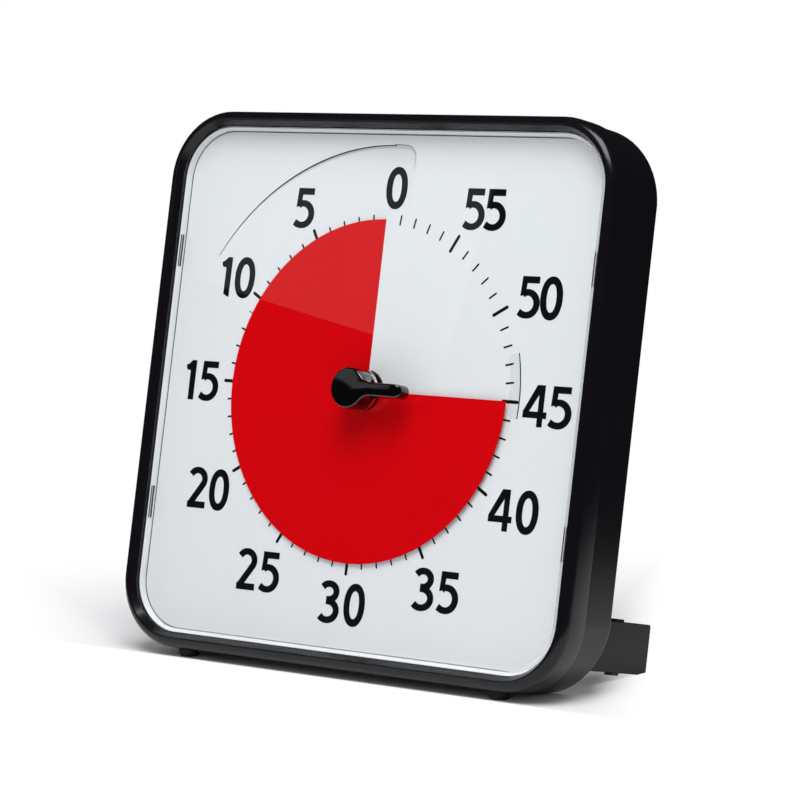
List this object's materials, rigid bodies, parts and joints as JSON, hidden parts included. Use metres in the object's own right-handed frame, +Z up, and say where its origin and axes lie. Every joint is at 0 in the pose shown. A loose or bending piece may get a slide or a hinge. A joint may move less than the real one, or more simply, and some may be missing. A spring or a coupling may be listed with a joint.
{
  "type": "visual countdown timer",
  "caption": "Square desktop countdown timer with a red disc that shows the time left, a pointer knob, a clear lens and two fold-out rear legs.",
  "frame": {"origin": "on the floor, under the middle of the object's box", "axes": "+X to the right seen from the front, +Y to the back, +Z up; the case leans back 11 degrees and the dial faces -Y"},
  "size_m": [0.191, 0.0784, 0.191],
  "materials": {
    "case_black": "satin black moulded plastic",
    "lens_clear": "clear polished plastic",
    "guide_clear": "clear film",
    "dial_white": "matte white sheet with black print",
    "disc_red": "satin red film",
    "knob_black": "glossy black moulded plastic",
    "foot_rubber": "matte black rubber",
    "leg_black": "satin black moulded plastic",
    "steel": "bright steel",
    "dark_steel": "black oxide steel",
    "brass": "plain brass",
    "copper": "enamelled copper wire",
    "wheel_plastic": "natural acetal",
    "bobbin_green": "moulded nylon",
    "board_green": "glass-epoxy board with green mask",
    "chip_black": "black epoxy",
    "movement_ivory": "ivory moulded plastic",
    "cell_wrap": "plain printed sleeve over steel",
    "switch_grey": "grey moulded plastic"
  },
  "bodies": {
    "root": {"front_frame": "case_black", "rear_housing": "case_black", "lens": "lens_clear", "dial": "dial_white", "disc_guide": "guide_clear", "arbor_bush": "brass", "stator": "steel", "coil_bobbin": "bobbin_green", "coil_winding": "copper", "circuit_board": "board_green", "quartz_crystal": "steel", "timer_chip": "chip_black", "alarm_contact": "brass", "movement_front": "movement_ivory", "movement_cover": "movement_ivory", "movement_screws": "steel", "case_screws": "dark_steel", "battery": "cell_wrap", "positive_contact": "steel", "negative_contact": "steel", "buzzer": "chip_black", "switch_body": "chip_black", "foot_left": "foot_rubber", "foot_right": "foot_rubber", "leg_pin_left": "steel", "leg_pin_right": "steel"},
    "pointer": {"knob": "knob_black", "disc_hub": "knob_black", "arbor": "steel", "alarm_cam": "wheel_plastic", "friction_washer": "steel"},
    "red_disc": {"disc": "disc_red"},
    "right_leg": {"leg_right": "leg_black"},
    "left_leg": {"leg_left": "leg_black"},
    "door": {"battery_door": "case_black"},
    "slider": {"switch_slider": "switch_grey"},
    "seconds": {"seconds_wheel": "wheel_plastic"},
    "stepper": {"step_rotor": "dark_steel"},
    "intermediate": {"intermediate_wheel": "wheel_plastic"},
    "third": {"third_wheel": "wheel_plastic"},
    "centre": {"centre_wheel": "wheel_plastic"}
  },
  "joints": [
    {"name": "time_set", "type": "hinge", "parent": "root", "child": "pointer", "pos_m": [0, -0.01534, 0.09648], "axis": [0, -0.9816, 0.1908], "range_deg": [-270, 90]},
    {"name": "disc_feed", "type": "slide", "parent": "pointer", "child": "red_disc", "axis": [0, -0.9816, 0.1908], "range_m": [-0.00196, 0.00066]},
    {"name": "right_leg_fold", "type": "hinge", "parent": "root", "child": "right_leg", "pos_m": [0.07825, -0.01308, 0.01745], "axis": [0, 0.1908, 0.9816], "range_deg": [0, 90]},
    {"name": "left_leg_fold", "type": "hinge", "parent": "root", "child": "left_leg", "pos_m": [-0.07825, -0.01308, 0.01745], "axis": [0, -0.1908, -0.9816], "range_deg": [0, 90]},
    {"name": "battery_door_pull", "type": "slide", "parent": "root", "child": "door", "axis": [0, 0.9816, -0.1908], "range_m": [0, 0.02]},
    {"name": "sound_switch_slide", "type": "slide", "parent": "root", "child": "slider", "axis": [1, 0, 0], "range_m": [0, 0.003]},
    {"name": "seconds_spin", "type": "hinge", "parent": "root", "child": "seconds", "pos_m": [-0.00012, -0.00213, 0.11207], "axis": [0, -0.9816, 0.1908], "continuous": true},
    {"name": "stepper_spin", "type": "hinge", "parent": "root", "child": "stepper", "pos_m": [0.01623, -0.00189, 0.11331], "axis": [0, -0.9816, 0.1908], "continuous": true},
    {"name": "intermediate_spin", "type": "hinge", "parent": "root", "child": "intermediate", "pos_m": [0.00927, -0.00175, 0.11403], "axis": [0, -0.9816, 0.1908], "continuous": true},
    {"name": "third_spin", "type": "hinge", "parent": "root", "child": "third", "pos_m": [-0.01273, -0.0031, 0.10707], "axis": [0, -0.9816, 0.1908], "continuous": true},
    {"name": "centre_spin", "type": "hinge", "parent": "root", "child": "centre", "pos_m": [0, -0.00847, 0.09515], "axis": [0, -0.9816, 0.1908], "continuous": true}
  ],
  "couplings": [
    {"joint": "disc_feed", "follows": "time_set", "m_per_rad": 0.0004138},
    {"joint": "stepper_spin", "follows": "seconds_spin", "ratio": 30},
    {"joint": "intermediate_spin", "follows": "seconds_spin", "ratio": -5},
    {"joint": "third_spin", "follows": "seconds_spin", "ratio": -0.13333},
    {"joint": "centre_spin", "follows": "seconds_spin", "ratio": 0.016667}
  ]
}
